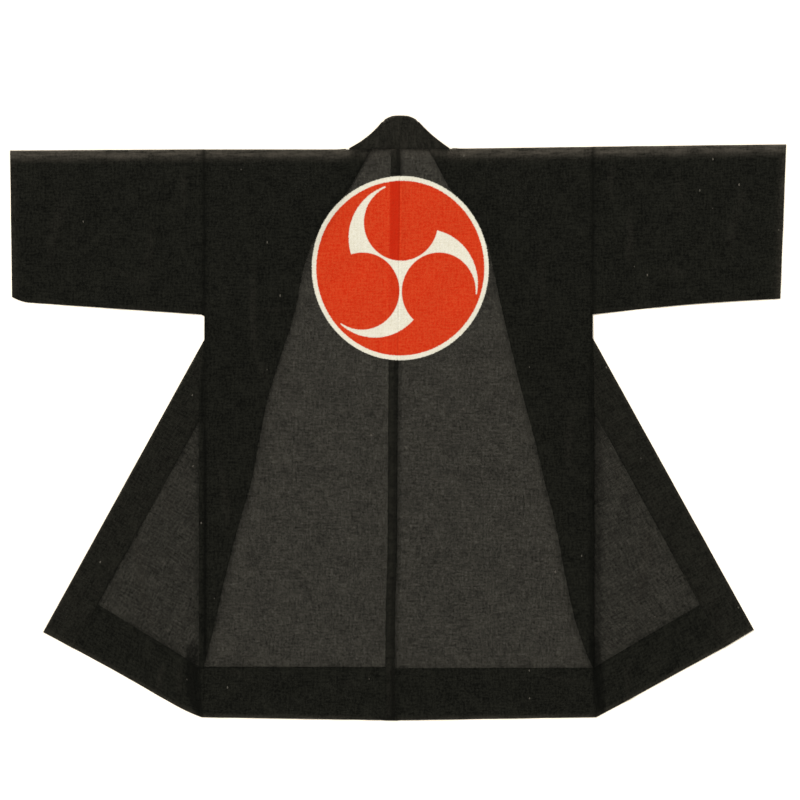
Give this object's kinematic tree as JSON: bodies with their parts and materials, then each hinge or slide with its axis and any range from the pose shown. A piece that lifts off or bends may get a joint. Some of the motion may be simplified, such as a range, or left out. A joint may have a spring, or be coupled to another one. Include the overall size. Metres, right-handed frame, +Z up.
{
  "type": "hanten",
  "caption": "Short unlined summer coat of sheer dark cloth with wide sleeves and a strip collar, laid flat back up with its fronts folded outward.",
  "frame": {"origin": "on the surface that the coat lies on, under the middle of its laid-out outline", "axes": "+Z up from the surface, towards the coat's back; +Y towards the collar; +X towards the right-hand sleeve as seen from above"},
  "size_m": [1.314, 1.024, 0.0066],
  "materials": {
    "dark_cloth": "matte plain weave, sheer, dyed black, with a crest dyed red and undyed white on the back",
    "collar_cloth": "matte plain weave, several layers, dyed black"
  },
  "bodies": {
    "root": {"body_left": "dark_cloth", "body_right": "dark_cloth", "sleeve_left": "dark_cloth", "sleeve_right": "dark_cloth", "collar": "collar_cloth"}
  },
  "joints": []
}
